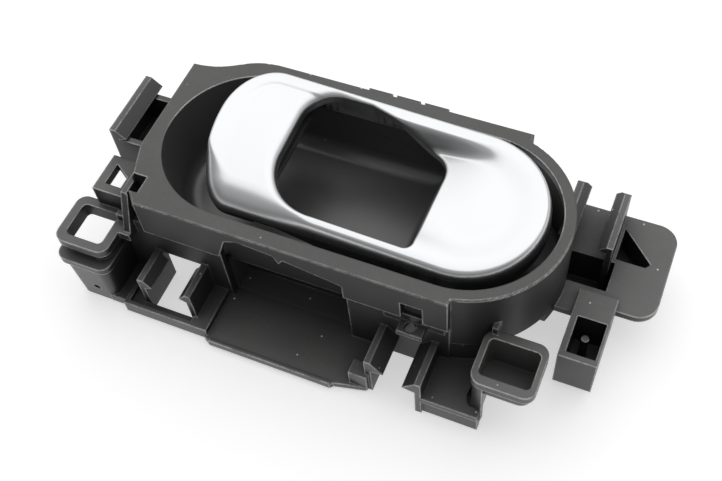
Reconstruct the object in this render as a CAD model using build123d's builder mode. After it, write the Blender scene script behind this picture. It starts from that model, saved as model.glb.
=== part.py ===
"""Car interior door handle: a moulded housing with a plated pull lever on a cross pin."""

import os
from math import cos, radians, sin, sqrt, tan

from build123d import *

os.makedirs("parts", exist_ok=True)

# Levels above the surface that the part lies on
flange_top = 45.0
flange_thickness = 2.6
band_bottom = 30.0
skirt_bottom = 15.5
arc_wall_bottom = 19.6
arc_wall_step = 0.3
boss_top = 28.4

# Opening for the lever, a slot with round ends
opening_y = 7.7
opening_left_x = -39.5
opening_right_x = 31.3
opening_radius = 27.5

# Flange around the opening: straight front, round right end, bulged left back corner
front_land = 5.2
back_land = 5.0
left_land = 5.0
end_land = 3.6
flange_front_left = -63.0
flange_front_right = 37.0
flange_back_right = 41.0
flange_side_back = 8.4
flange_side_front = 21.0
flange_corner_in = 5.5
flange_corner_back = 4.0
bulge_start_x = -44.0
bulge_end_x = -57.3
bulge_drop = 3.9
skirt_wall = 2.2
edge_round = 0.5

# How far joined walls run into each other, and how far a cut runs past a face
wall_lap = 1.0
small_lap = 0.5
cut_past = 1.0
cut_margin = 0.1

# Finger bowl behind the lever
bowl_wall = 2.0
bowl_depth = 24.0
bowl_draft = 8.0
bowl_end_gap = 9.0
bowl_end_top = 31.0
bowl_floor_round = 5.0
chamber_floor = 2.0
chamber_floor_top = 19.5
chamber_floor_x = 36.0

# Lever: plan outline, domed top that leans to the right and to the front, and finger hole
lever_gap = 2.9
lever_end_gap = 3.5
lever_left_x = -36.0
lever_left_length = 15.0
lever_tip_shift = 5.0
lever_bottom = 43.5
lever_top = 51.4
lever_lean_right = 2.6
lever_lean_front = 3.3
dome_rise = 7.0
dome_shift = 2.0
dome_insets = (0, 0.6, 2.0, 4.2, 7.0)
lever_wall = 2.2
hole_left_x = -26.3
hole_right_x = 20.5
bar_width = 3.3
hole_corner_front = 17.0
hole_corner_back = 10.0
hole_corner_scoop = 9.0

# Scoop to the right of the finger hole
scoop_radius = 28.0
scoop_shell = 1.8
scoop_end_x = 30.4
scoop_end_z = 44.0
scoop_slope = 15.0
scoop_length = 19.0

# Carrier under the lever, its pivot and its cable arm
pivot_x = 26.0
pivot_z = 34.5
pin_diameter = 4.0
pin_fit = 0.02
pin_seat = 1.6
pin_end_gap = 0.2
pin_chamfer = 0.4
barrel_clearance = 0.05
barrel_diameter = 8.5
barrel_side_gap = 0.3
barrel_length = 6.4
rail_inset = 0.3
rail_width = 2.4
seat_gap = 0.05
rail_left_depth = 1.1
rail_pivot_depth = 10.5
rail_right_depth = 4.4
rail_rise_start = 6.0
rail_rise_end = 12.0
rail_drop_end = 10.0
rail_edge_slope = 1.0
paddle_plate_gap = 0.6
paddle_plate = 1.9
tie_reach = 11.8
tie_width = 3.4
tie_drop = 2.5
tie_height = 3.0
arm_thickness = 3.4
arm_reach = 9.0
arm_bottom = 18.0
arm_top_drop = 7.0
arm_end_height = 10.0
arm_end_length = 6.5
arm_root = 0.6
arm_root_rise = 1.5
cable_hole_diameter = 3.4
cable_hole_inset = 3.4
cable_hole_rise = 3.2

# Return spring wound on the pin
spring_wire = 0.9
spring_mean_radius = 2.8
spring_turns = 6.44
spring_pitch = 1.15
spring_side_gap = 0.4
spring_lever_leg = 12.0
spring_housing_leg = 14.6

# Rubber rest buffer and its bracket
buffer_gap = 0.3
buffer_head = 2.5
buffer_head_diameter = 6.4
buffer_stem_diameter = 3.2
buffer_fit = 0.02
buffer_round = 0.8
buffer_stem_end = 1.2
buffer_z = 23.0
bracket_thickness = 2.8
bracket_bottom = 18.0
bracket_top = 25.6
bracket_reach = 20.0
bracket_lap = 2.0
bracket_setback = 0.2

# Bearing cheeks and the window in front of the pin
cheek_half_length = 9.5
cheek_bottom = 24.0
window_depth = 3.0
window_width = 6.6
window_bottom = 29.4
window_top = 38.0
eye_ledge_depth = 4.4
eye_ledge_width = 8.0
eye_ledge_thickness = 2.0
eye_diameter = 3.6
eye_ledge_drop = 3.4
eye_shift = (-0.4, 0.2)

# Arch in the front wall, with its tooth
arch_left_x = -33.0
arch_right_x = 4.5
arch_top_left = 42.0
arch_top_right = 36.4
arch_shoulder = 4.5
arch_flare = 4.0
arch_slope = 2.0
tooth_x = -15.4
tooth_width = 3.2
tooth_drop = 4.6
tooth_slope = 1.2

# Lower front structure
bulkhead_step = 1.8
bulkhead_thickness = 2.2
bulkhead_left_x = -74.0
bulkhead_bottom = 2.0
cavity_depth = 11.2

# Centre tray
tray_left_x = -37.5
tray_right_x = 4.5
tray_reach = 16.6
tray_top = 3.5
tray_thickness = 2.3
tray_corner = 1.0
tray_bevel = 1.2
tray_lap = 5.5
tray_lip_width = 1.2
tray_lip_height = 0.5

# Left clip tray with two facing hooks
clip_tray_left_x = -69.3
clip_tray_right_x = -43.6
clip_tray_reach = 14.6
clip_tray_top = 6.0
clip_tray_bottom = 0.8
clip_tray_rim = 1.6
clip_tray_recess = 1.6
clip_tray_lap = 4.6
clip_hook_left_x = -63.0
clip_hook_right_x = -44.0
clip_hook_reach = 11.0
clip_hook_top = 18.0
clip_window_top = 17.0

# Snap hooks: wall, head and catch
hook_wall = 2.0
hook_catch = 2.6
hook_head = 3.2
hook_undercut = 0.8

# Square fixing sockets
socket_outer = (19.0, 18.0)
socket_hole = (13.0, 12.0)
right_socket_hole = (15.2, 12.0)
socket_corner = 3.6
socket_hole_corner = 1.6
socket_collar = 3.0
socket_neck_inset = 1.4
socket_depth = 5.4
left_socket_x = -81.0
right_socket_x = 56.4
socket_reach = 2.4

# Foot below the left socket
foot_flange_top = 21.6
foot_flange_thickness = 2.6
foot_reach = 11.6
foot_left_x = -90.5
foot_right_x = -71.5
foot_inset = 2.4
foot_wall = 2.0
foot_taper = 3.0
foot_return = 6.0
foot_step = 0.8
foot_hole_diameter = 2.6
foot_hole_z = 7.0
foot_hole_shift = 1.0
foot_hole_depth = 2.4

# Pocket below the right socket
pocket_back_bottom = 11.8
pocket_front_bottom = 21.0
pocket_floor = 2.0
pocket_rib_thickness = 1.8
pocket_rib_inset = 1.6
pocket_rib_reach = 6.0
pocket_rib_rise = 3.0

# Cable clip hooks and the right tray
cable_hook_left_x = 15.0
cable_hook_right_x = 33.6
cable_hook_reach = 12.0
cable_hook_top = 18.0
cable_hook_catch = 4.0
cable_hook_slope = 4.5
step_block_left_x = 10.0
step_block_top = 10.0
step_block_reach = 13.4
step_block_depth = 5.2
right_tray_left_x = 31.6
right_tray_right_x = 51.0
right_tray_reach = 13.6
right_tray_top = 10.0
right_tray_thickness = 2.4
right_tray_cutout = 6.0
right_tray_groove = 0.8

# Box and plate beside the round end
box_left_x = 67.2
box_right_x = 79.0
box_front = -15.7
box_back = 8.3
box_top = 20.0
box_bottom = 3.5
box_wall = 2.0
box_window_back = -1.2
box_floor = 2.2
peg_diameter = 2.4
peg_height = 10.0
peg_setback = 4.3
plate_right_x = 90.5
plate_back = 39.9
plate_front = 0.6
plate_right_front = 5.2
plate_top = 18.0
plate_thickness = 2.5
plate_corner = 6.5
plate_pocket_wall = 1.5
plate_pocket_bottom = 3.0
plate_slot = (61.0, 74.5, 10.9, 21.6)
plate_recess_bottom = 6.5
plate_gusset = ((74.2, 35.0), (84.6, 24.6), (83.4, 23.0), (74.2, 23.0))
blade_left_x = 56.4
blade_right_x = 73.2
blade_front = 17.8
blade_back = 39.9
blade_top = 30.2
blade_slope = 2.4
blade_chamfer = 1.0

# Loop tab and side hook on the left
loop_left_x = -83.2
loop_front = -19.4
loop_back = -5.6
loop_top = 36.4
loop_thickness = 3.0
loop_bar = 3.0
loop_skirt = 8.0
loop_skirt_thickness = 2.0
loop_hole_gap = 2.6
loop_hole_back = 6.6
side_hook_x = -85.0
side_hook_front = -1.8
side_hook_back = 22.2
side_hook_top = 44.0
side_hook_bottom = 28.0
side_hook_catch = 3.4
side_web_thickness = 2.0
side_web_drop = 4.0
side_floor = 2.0
side_web_inset = 5.0

# Pocket at the left edge of the flange
edge_pocket_size = (4.6, 6.2)
edge_pocket_centre = (-65.8, -17.8)
edge_pocket_depth = 7.0
corner_web_left = 3.6
corner_web_right = 1.1
corner_web_depth = 9.0

# Strip of tabs on the back wall
strip_left_x = -15.0
strip_right_x = 14.6
strip_reach = 1.4
strip_top = 44.0
strip_height = 6.0
strip_notch = 1.4
strip_notches = 4

# Back legs
leg_width = 16.0
leg_left_x = -44.0
leg_right_x = 22.0
leg_taper = 2.0

# Worked-out positions
flange_left = opening_left_x - opening_radius - left_land
flange_front = opening_y - opening_radius - front_land
flange_back = opening_y + opening_radius + back_land
flange_end_radius = opening_radius + end_land
flange_side_back_y = flange_back - flange_side_back
flange_side_front_y = flange_front + flange_side_front
flange_corner = (flange_left + flange_corner_in, flange_front + flange_corner_back)
bulge_end = (bulge_end_x, flange_back - bulge_drop)
bulkhead_front = flange_front + bulkhead_step
cavity_back = bulkhead_front + cavity_depth
tray_front = flange_front - tray_reach
clip_tray_front = flange_front - clip_tray_reach
clip_hook_front = flange_front - clip_hook_reach
socket_y = flange_front - socket_reach
foot_front = socket_y - foot_reach
cable_hook_front = flange_front - cable_hook_reach
step_block_front = flange_front - step_block_reach
right_tray_front = flange_front - right_tray_reach
strip_back = flange_back + strip_reach
lever_half_width = opening_radius - lever_gap
lever_right_x = opening_right_x + opening_radius - lever_end_gap - lever_half_width
bowl_end_x = pivot_x - bowl_end_gap
arm_face_x = pivot_x + arm_reach
tie_x = pivot_x + tie_reach
skirt_inner = flange_front + skirt_wall
flange_under = flange_top - flange_thickness
opening_span = opening_right_x - opening_left_x
opening_mid_x = (opening_right_x + opening_left_x) / 2
bowl_floor_z = flange_top - bowl_depth
lever_front = opening_y - lever_half_width
lever_back = opening_y + lever_half_width
lever_right_end = lever_right_x + lever_half_width
hole_front = lever_front + bar_width
hole_back = lever_back - bar_width
cheek_front_y = opening_y - opening_radius
cheek_back_y = opening_y + opening_radius
bulkhead_back = bulkhead_front + bulkhead_thickness
band_overlap = band_bottom + wall_lap + small_lap
bracket_x = arm_face_x + buffer_gap + buffer_head
buffer_y = lever_front + rail_inset + rail_width + arm_thickness / 2


def block(x, y, z, mode=Mode.ADD):
    """A straight wall or cut between two corners, each axis given as (low, high)."""
    with BuildSketch(Plane.XY.offset(z[0])) as footprint:
        with Locations(((x[0] + x[1]) / 2, (y[0] + y[1]) / 2)):
            Rectangle(x[1] - x[0], y[1] - y[0])
    extrude(footprint.sketch, amount=z[1] - z[0], mode=mode)


def side_profile(points, x, mode=Mode.ADD):
    """A wall whose outline is drawn in the YZ plane and runs from x[0] to x[1]."""
    with BuildSketch(Plane.YZ.offset(x[0])) as outline:
        Polygon(*points, align=None)
    extrude(outline.sketch, amount=x[1] - x[0], mode=mode)


def front_profile(points, y, mode=Mode.ADD):
    """A wall whose outline is drawn in the XZ plane and runs from y[0] to y[1]."""
    with BuildSketch(Plane.XZ.offset(-y[1])) as outline:
        Polygon(*points, align=None)
    extrude(outline.sketch, amount=y[1] - y[0], mode=mode)


def snap_hook(x, side, y, z, catch=hook_catch, slope=hook_head):
    """A wall along Y with a sloped head; side is the way its catch points along X."""
    inner = x + side * hook_wall
    tip = inner + side * catch
    points = [
        (x, z[0]),
        (inner, z[0]),
        (inner, z[1] - slope - hook_undercut),
        (tip, z[1] - slope),
        (inner, z[1]),
        (x, z[1]),
    ]
    if side < 0:
        points.reverse()
    front_profile(points, y)


def slot_face(radius):
    """The opening's slot shape with its ends on the same two centres."""
    with BuildSketch() as slot:
        with Locations((opening_mid_x, opening_y)):
            SlotCenterToCenter(opening_span, 2 * radius)
    return slot.sketch


def rounded_square(size, corner, centre, z):
    """A rounded rectangle at a height, for the sockets."""
    with BuildSketch(Plane.XY.offset(z)) as square:
        with Locations(centre):
            RectangleRounded(size[0], size[1], corner)
    return square.sketch


def lever_face(inset):
    """The lever outline about its own centre line: straight sides, a round end and an oval end."""
    side = lever_half_width - inset
    with BuildSketch() as outline:
        with BuildLine():
            CenterArc((lever_right_x, 0), side, -90, 180)
            Line((lever_right_x, side), (lever_left_x, side))
            tip = (lever_left_x, lever_tip_shift)
            EllipticalCenterArc(tip, lever_left_length - inset, side - lever_tip_shift, 90, arc_size=90)
            EllipticalCenterArc(tip, lever_left_length - inset, side + lever_tip_shift, 180, arc_size=90)
            Line((lever_left_x, -side), (lever_right_x, -side))
        make_face()
    return outline.sketch


def rim_face(inset):
    """The flange outline, moved inwards by an inset for the space inside the skirt."""
    radius = flange_end_radius - inset
    front = flange_front + inset
    back = flange_back - inset
    step_x = flange_front_right - inset
    step_y = opening_y - sqrt(radius**2 - (step_x - opening_right_x) ** 2)
    end_x = flange_back_right - inset
    end_y = opening_y + sqrt(radius**2 - (end_x - opening_right_x) ** 2)
    corner = (flange_corner[0] + inset, flange_corner[1] + inset / 2)
    side = (flange_left + inset, flange_side_back_y - inset)
    with BuildSketch() as outline:
        with BuildLine():
            Polyline(corner, (flange_front_left + inset / 2, front), (step_x, front), (step_x, step_y))
            ThreePointArc((step_x, step_y), (opening_right_x + radius, opening_y), (end_x, end_y))
            Polyline((end_x, end_y), (end_x, back), (bulge_start_x, back))
            bulge = TangentArc((bulge_start_x, back), (bulge_end[0], bulge_end[1] - inset), tangent=(-1, 0))
            TangentArc(bulge @ 1, side, tangent=bulge % 1)
            Polyline(side, (side[0], flange_side_front_y), corner)
        make_face()
    return outline.sketch


# Finger bowl, a drafted cup with a cross wall at its right end
with BuildPart() as bowl:
    with BuildSketch(Plane.XY.offset(flange_under)):
        add(slot_face(opening_radius + bowl_wall))
    extrude(amount=bowl_floor_z - bowl_wall - flange_under, taper=bowl_draft)
    split(bisect_by=Plane.YZ.offset(bowl_end_x + bowl_wall), keep=Keep.BOTTOM)

with BuildPart() as bowl_space:
    with BuildSketch(Plane.XY.offset(flange_top)):
        add(slot_face(opening_radius))
    extrude(amount=-bowl_depth, taper=bowl_draft)
    split(bisect_by=Plane.YZ.offset(bowl_end_x), keep=Keep.BOTTOM)
    fillet(bowl_space.faces().sort_by(Axis.Z)[0].edges(), bowl_floor_round)

# Housing, one moulding
with BuildPart() as housing:
    # Flange and skirt, hollow from below
    with BuildSketch(Plane.XY.offset(flange_top)):
        add(rim_face(0))
    extrude(amount=skirt_bottom - flange_top)
    fillet(housing.faces().sort_by(Axis.Z)[-1].edges(), edge_round)
    with BuildSketch(Plane.XY.offset(skirt_bottom)):
        add(rim_face(skirt_wall))
    extrude(amount=flange_under - skirt_bottom, mode=Mode.SUBTRACT)

    # The front wall is a band, and the round end is cut back where the sockets pass
    block(
        (flange_left, flange_front_right),
        (flange_front - cut_past, skirt_inner + cut_margin),
        (0, band_bottom),
        Mode.SUBTRACT,
    )
    block(
        (flange_front_right, opening_right_x + flange_end_radius),
        (flange_front, flange_side_front_y),
        (0, arc_wall_bottom),
        Mode.SUBTRACT,
    )

    # Bowl and the open chamber for the pivot beside it
    add(bowl.part)
    add(bowl_space.part, mode=Mode.SUBTRACT)
    with BuildSketch(Plane.XY.offset(flange_top)):
        add(slot_face(opening_radius))
        with Locations((bowl_end_x - opening_radius - opening_span, opening_y)):
            Rectangle(2 * (opening_radius + opening_span), 4 * opening_radius, mode=Mode.SUBTRACT)
    extrude(amount=bowl_end_top - flange_top, mode=Mode.SUBTRACT)

    # Floor that closes the round end of the chamber
    with BuildSketch(Plane.XY.offset(chamber_floor_top - chamber_floor)):
        with Locations((opening_right_x, opening_y)):
            Circle(flange_end_radius - skirt_wall / 2)
        with Locations((chamber_floor_x, opening_y)):
            Rectangle(
                4 * flange_end_radius,
                4 * flange_end_radius,
                align=(Align.MAX, Align.CENTER),
                mode=Mode.SUBTRACT,
            )
    extrude(amount=chamber_floor)

    # Bearing cheeks on both sides of the opening
    cheek_outer_back = flange_back - skirt_wall + small_lap
    for cheek in ((skirt_inner - small_lap, cheek_front_y), (cheek_back_y, cheek_outer_back)):
        block(
            (pivot_x - cheek_half_length, pivot_x + cheek_half_length),
            cheek,
            (cheek_bottom, flange_under + small_lap),
        )

    # Bracket for the rest buffer, on the front cheek
    block(
        (bracket_x, bracket_x + bracket_thickness),
        (cheek_front_y - bracket_lap, cheek_front_y + bracket_reach),
        (bracket_bottom, bracket_top),
    )
    block(
        (pivot_x + cheek_half_length - wall_lap, bracket_x + bracket_thickness),
        (cheek_front_y - bracket_lap, cheek_front_y - bracket_setback),
        (bracket_bottom, flange_under),
    )

    # Bulkheads behind the trays, on both sides of the arch
    bulkhead_y = (bulkhead_front, bulkhead_back)
    bulkhead_z = (bulkhead_bottom, band_overlap)
    block((bulkhead_left_x, tray_left_x), bulkhead_y, bulkhead_z)
    block((tray_right_x, flange_front_right), bulkhead_y, bulkhead_z)

    # Cavity under the bowl behind the arch: back wall and two side walls
    cavity_z = (tray_top - tray_thickness, bowl_floor_z - bowl_wall / 2)
    block(
        (tray_left_x - bulkhead_thickness, tray_right_x + bulkhead_thickness),
        (cavity_back, cavity_back + bulkhead_thickness),
        cavity_z,
    )
    for wall_x in (tray_left_x - bulkhead_thickness, tray_right_x):
        block((wall_x, wall_x + bulkhead_thickness), (bulkhead_front, cavity_back), cavity_z)

    # Arch through the front band, with a tooth left hanging in it
    front_profile(
        [
            (arch_left_x - arch_flare, band_bottom - cut_past),
            (arch_right_x, band_bottom - cut_past),
            (arch_right_x, arch_top_right),
            (tooth_x + tooth_width / 2, arch_top_left - arch_slope),
            (tooth_x, arch_top_left - tooth_drop),
            (tooth_x - tooth_width / 2, arch_top_left - tooth_slope),
            (arch_left_x + arch_shoulder, arch_top_left),
            (arch_left_x, arch_top_left - arch_slope),
        ],
        (flange_front - cut_past, skirt_inner + cut_margin),
        Mode.SUBTRACT,
    )

    # Centre tray, from the clip tray to the step block and back under the bowl
    with BuildSketch(Plane.XY.offset(tray_top - tray_thickness)) as tray:
        Polygon(
            (tray_left_x - bulkhead_thickness, cavity_back),
            (tray_left_x - bulkhead_thickness, tray_front + tray_bevel),
            (tray_left_x, tray_front),
            (tray_right_x, tray_front),
            (tray_right_x + tray_corner, tray_front + tray_corner),
            (step_block_left_x + tray_lap, step_block_front),
            (step_block_left_x + tray_lap, bulkhead_back),
            (tray_right_x + bulkhead_thickness, bulkhead_back),
            (tray_right_x + bulkhead_thickness, cavity_back),
            align=None,
        )
    extrude(amount=tray_thickness)
    block(
        (tray_left_x, tray_right_x),
        (tray_front, tray_front + tray_lip_width),
        (tray_top - wall_lap, tray_top + tray_lip_height),
    )

    # Left clip tray: shallow dish with a window between two facing hooks
    block(
        (clip_tray_left_x, clip_tray_right_x + clip_tray_lap),
        (clip_tray_front, bulkhead_back),
        (clip_tray_bottom, clip_tray_top),
    )
    block(
        (clip_tray_left_x + clip_tray_rim, clip_tray_right_x - clip_tray_rim),
        (clip_tray_front + clip_tray_rim, bulkhead_front),
        (clip_tray_top - clip_tray_recess, clip_tray_top),
        Mode.SUBTRACT,
    )
    block(
        (foot_right_x - foot_inset - foot_wall, clip_tray_left_x + clip_tray_rim),
        (clip_tray_front + clip_tray_rim, bulkhead_back),
        (clip_tray_bottom, clip_tray_top - clip_tray_recess),
    )
    snap_hook(
        clip_hook_left_x,
        1,
        (clip_hook_front, bulkhead_back - bulkhead_thickness / 2),
        (clip_tray_bottom, clip_hook_top),
    )
    snap_hook(
        clip_hook_right_x,
        -1,
        (clip_hook_front, bulkhead_back - bulkhead_thickness / 2),
        (clip_tray_bottom, clip_hook_top),
    )
    block(
        (clip_hook_left_x + hook_wall, clip_hook_right_x - hook_wall),
        (clip_hook_front, bulkhead_back + cut_past),
        (0, clip_tray_top + cut_margin),
        Mode.SUBTRACT,
    )
    block(
        (clip_hook_left_x + hook_wall, clip_hook_right_x - hook_wall),
        (bulkhead_front - cut_past, bulkhead_back + cut_past),
        (0, clip_window_top),
        Mode.SUBTRACT,
    )

    # Cable clip hooks with a step block, and the right tray
    cable_z = (0, cable_hook_top)
    snap_hook(
        cable_hook_left_x,
        1,
        (cable_hook_front, bulkhead_back),
        cable_z,
        cable_hook_catch,
        cable_hook_slope,
    )
    snap_hook(
        cable_hook_right_x,
        -1,
        (right_tray_front, bulkhead_back),
        cable_z,
        cable_hook_catch,
        cable_hook_slope,
    )
    block(
        (step_block_left_x, cable_hook_left_x + hook_wall / 2),
        (step_block_front, step_block_front + step_block_depth),
        (bulkhead_bottom, step_block_top),
    )
    tray_wall_y = right_tray_front + right_tray_groove
    neck_left_x = right_socket_x - socket_outer[0] / 2 + socket_neck_inset
    neck_front = socket_y - socket_outer[1] / 2 + socket_neck_inset
    block(
        (right_tray_left_x, right_tray_right_x),
        (tray_wall_y, tray_wall_y + right_tray_thickness),
        (0, right_tray_top),
    )
    with BuildSketch(Plane.XY.offset(right_tray_top - right_tray_thickness)):
        with Locations((right_tray_left_x, right_tray_front)):
            Rectangle(
                right_tray_right_x - right_tray_left_x,
                flange_end_radius,
                align=(Align.MIN, Align.MIN),
            )
        with Locations((opening_right_x, opening_y)):
            Circle(flange_end_radius - skirt_wall / 2, mode=Mode.SUBTRACT)
        with Locations((neck_left_x + socket_corner, neck_front + socket_corner)):
            Circle(right_tray_cutout, mode=Mode.SUBTRACT)
    extrude(amount=right_tray_thickness)
    # The round end's wall comes down to the right tray
    with BuildSketch(Plane.XY.offset(right_tray_top - right_tray_thickness)):
        with Locations((opening_right_x, opening_y)):
            Circle(flange_end_radius - arc_wall_step)
            Circle(flange_end_radius - skirt_wall + arc_wall_step, mode=Mode.SUBTRACT)
        with Locations(((flange_front_right - skirt_wall + right_tray_right_x) / 2, flange_front)):
            Rectangle(
                right_tray_right_x - flange_front_right + skirt_wall,
                flange_end_radius,
                mode=Mode.INTERSECT,
            )
    extrude(amount=arc_wall_bottom + wall_lap - right_tray_top + right_tray_thickness)

    # Left socket: collar, neck, foot flange and a hollow tapered foot
    left_socket = (left_socket_x, socket_y)
    extrude(rounded_square(socket_outer, socket_corner, left_socket, boss_top), amount=-socket_collar)
    neck_size = (socket_outer[0] - 2 * socket_neck_inset, socket_outer[1] - 2 * socket_neck_inset)
    extrude(
        rounded_square(neck_size, socket_corner, left_socket, boss_top),
        amount=foot_flange_top - foot_flange_thickness - boss_top,
    )
    foot_back = socket_y + socket_outer[1] / 2
    foot_mid = ((foot_left_x + foot_right_x) / 2, (foot_front + foot_back) / 2)
    foot_size = (foot_right_x - foot_left_x, foot_back - foot_front)
    extrude(
        rounded_square(foot_size, socket_corner, foot_mid, foot_flange_top),
        amount=-foot_flange_thickness,
    )
    leg_size = (foot_size[0] - foot_inset, foot_size[1] - foot_step)
    leg_mid = (foot_mid[0] + foot_step / 2, foot_mid[1])
    extrude(
        rounded_square(leg_size, socket_corner, leg_mid, foot_flange_top - foot_flange_thickness),
        amount=foot_flange_thickness - foot_flange_top,
        taper=foot_taper,
    )
    hollow_size = (leg_size[0] - 2 * foot_wall, leg_size[1] - 2 * foot_wall)
    extrude(
        rounded_square(hollow_size, socket_hole_corner, leg_mid, foot_flange_top - foot_flange_thickness),
        amount=foot_flange_thickness - foot_flange_top,
        taper=foot_taper,
        mode=Mode.SUBTRACT,
    )
    extrude(
        rounded_square(socket_hole, socket_hole_corner, left_socket, boss_top),
        amount=-boss_top,
        mode=Mode.SUBTRACT,
    )
    block(
        (foot_left_x - cut_past, foot_right_x - foot_inset - foot_wall),
        (foot_front + foot_return, foot_back + cut_past),
        (0, boss_top - socket_depth),
        Mode.SUBTRACT,
    )

    # Right socket: a pocket with a sloped floor
    right_socket = (right_socket_x, socket_y)
    pocket_x = (right_socket_x - socket_outer[0] / 2, right_socket_x + socket_outer[0] / 2)
    pocket_y = (socket_y - socket_outer[1] / 2, socket_y + socket_outer[1] / 2)
    extrude(rounded_square(socket_outer, socket_corner, right_socket, boss_top), amount=-socket_collar)
    with BuildPart(mode=Mode.PRIVATE) as pocket:
        extrude(
            rounded_square(neck_size, socket_corner, right_socket, boss_top - wall_lap),
            amount=pocket_back_bottom - boss_top,
        )
        side_profile(
            [
                (pocket_y[0], pocket_front_bottom),
                (pocket_y[0], 0),
                (pocket_y[1], 0),
                (pocket_y[1], pocket_back_bottom),
            ],
            pocket_x,
            Mode.SUBTRACT,
        )
    add(pocket.part)
    # The socket's left wall goes down to the right tray, and a rib ties it to the round end
    with BuildSketch(Plane.XY.offset(right_tray_top - right_tray_thickness)):
        add(rounded_square(neck_size, socket_corner, right_socket, 0))
        with Locations((right_tray_right_x, socket_y)):
            Rectangle(*socket_outer, align=(Align.MAX, Align.CENTER), mode=Mode.INTERSECT)
    extrude(amount=boss_top - socket_collar - right_tray_top + right_tray_thickness)
    rib_left_x = pocket_x[0] + pocket_rib_inset
    block(
        (rib_left_x, rib_left_x + pocket_rib_thickness),
        (pocket_y[1] - wall_lap - small_lap, pocket_y[1] + pocket_rib_reach),
        (arc_wall_bottom, boss_top + pocket_rib_rise),
    )
    # Space inside the socket, with the sloped floor
    with BuildPart(mode=Mode.PRIVATE) as pocket_space:
        extrude(
            rounded_square(right_socket_hole, socket_hole_corner, right_socket, boss_top),
            amount=pocket_back_bottom - boss_top,
        )
        side_profile(
            [
                (pocket_y[0], pocket_front_bottom + pocket_floor),
                (pocket_y[0], 0),
                (pocket_y[1], 0),
                (pocket_y[1], pocket_back_bottom + pocket_floor),
            ],
            pocket_x,
            Mode.SUBTRACT,
        )
    add(pocket_space.part, mode=Mode.SUBTRACT)

    # Plate beside the round end, with its slot and gusset hole
    with BuildSketch(Plane.XY.offset(plate_top - plate_thickness)) as plate:
        with Locations((plate_right_x, plate_back)):
            Rectangle(
                plate_right_x - opening_right_x,
                plate_back - plate_right_front,
                align=(Align.MAX, Align.MAX),
            )
        fillet(plate.vertices().group_by(Axis.X)[-1], plate_corner)
        with Locations((opening_right_x, plate_front)):
            Rectangle(
                box_left_x + box_wall - opening_right_x,
                plate_back - plate_front,
                align=(Align.MIN, Align.MIN),
            )
        with Locations((opening_right_x, opening_y)):
            Circle(flange_end_radius - skirt_wall / 2, mode=Mode.SUBTRACT)
    extrude(amount=plate_thickness)
    # Triangular recess with its own walls below the plate
    with BuildSketch(Plane.XY.offset(plate_recess_bottom)) as recess:
        Polygon(*plate_gusset, align=None)
        offset(amount=plate_pocket_wall)
    extrude(amount=plate_top - plate_recess_bottom)
    with BuildSketch(Plane.XY.offset(plate_recess_bottom + plate_pocket_wall)):
        Polygon(*plate_gusset, align=None)
    extrude(amount=plate_top - plate_recess_bottom, mode=Mode.SUBTRACT)
    block(
        (plate_slot[0] - plate_pocket_wall, plate_slot[1] + plate_pocket_wall),
        (plate_slot[2] - plate_pocket_wall, plate_slot[3] + plate_pocket_wall),
        (plate_pocket_bottom, plate_top),
    )
    block(
        plate_slot[:2],
        plate_slot[2:],
        (plate_pocket_bottom + plate_pocket_wall, plate_top),
        Mode.SUBTRACT,
    )

    # Two facing blades at the back of the plate
    blade_y = (blade_front, blade_back)
    blade_z = (plate_top - plate_thickness, blade_top)
    snap_hook(blade_left_x, 1, blade_y, blade_z, slope=blade_slope)
    snap_hook(blade_right_x, -1, blade_y, blade_z, slope=blade_slope)
    block(
        (blade_right_x - hook_wall, blade_right_x),
        (blade_front, plate_slot[3] + plate_pocket_wall),
        (plate_pocket_bottom, plate_top),
    )
    side_profile(
        [
            (blade_y[1] - blade_chamfer, blade_top),
            (blade_y[1], blade_top - blade_chamfer),
            (blade_y[1], blade_top),
        ],
        (blade_left_x, blade_right_x),
        Mode.SUBTRACT,
    )

    # Open box in front of the plate, with a peg on its floor
    block((box_left_x, box_right_x), (box_front, box_back), (box_bottom, box_top))
    block(
        (box_left_x + box_wall, box_right_x - box_wall / 2),
        (box_front + box_wall, box_window_back),
        (box_bottom + box_floor, box_top),
        Mode.SUBTRACT,
    )
    with BuildSketch(Plane.XY.offset(box_bottom + box_floor)):
        with Locations(((box_left_x + box_right_x) / 2, box_window_back - peg_setback)):
            Circle(peg_diameter / 2)
    extrude(amount=peg_height)

    # Loop tab on the left
    block((loop_left_x, flange_corner[0]), (loop_front, loop_back), (loop_top - loop_thickness, loop_top))
    with BuildSketch(Plane.XY.offset(loop_top - loop_thickness)):
        Polygon(
            (loop_left_x + loop_bar, loop_front + loop_bar),
            (flange_left - loop_hole_gap, loop_front + loop_bar),
            (flange_left - loop_hole_gap, loop_back - loop_hole_back),
            (loop_left_x + loop_bar, loop_back - loop_bar),
            align=None,
        )
    extrude(amount=loop_thickness, mode=Mode.SUBTRACT)
    block(
        (loop_left_x, flange_corner[0]),
        (loop_front, loop_front + loop_skirt_thickness),
        (loop_top - loop_skirt, loop_top),
    )

    # Side hook on a floor and two webs
    snap_hook(
        side_hook_x,
        1,
        (side_hook_front, side_hook_back),
        (side_hook_bottom, side_hook_top),
        side_hook_catch,
    )
    block(
        (side_hook_x + hook_wall / 2, flange_left + skirt_wall / 2),
        (side_hook_front, side_hook_back - side_web_inset),
        (side_hook_bottom, side_hook_bottom + side_floor),
    )
    for web_y in (side_hook_front, side_hook_back - side_web_inset):
        block(
            (side_hook_x, flange_left + skirt_wall / 2),
            (web_y, web_y + side_web_thickness),
            (side_hook_bottom, side_hook_top - side_web_drop),
        )

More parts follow.
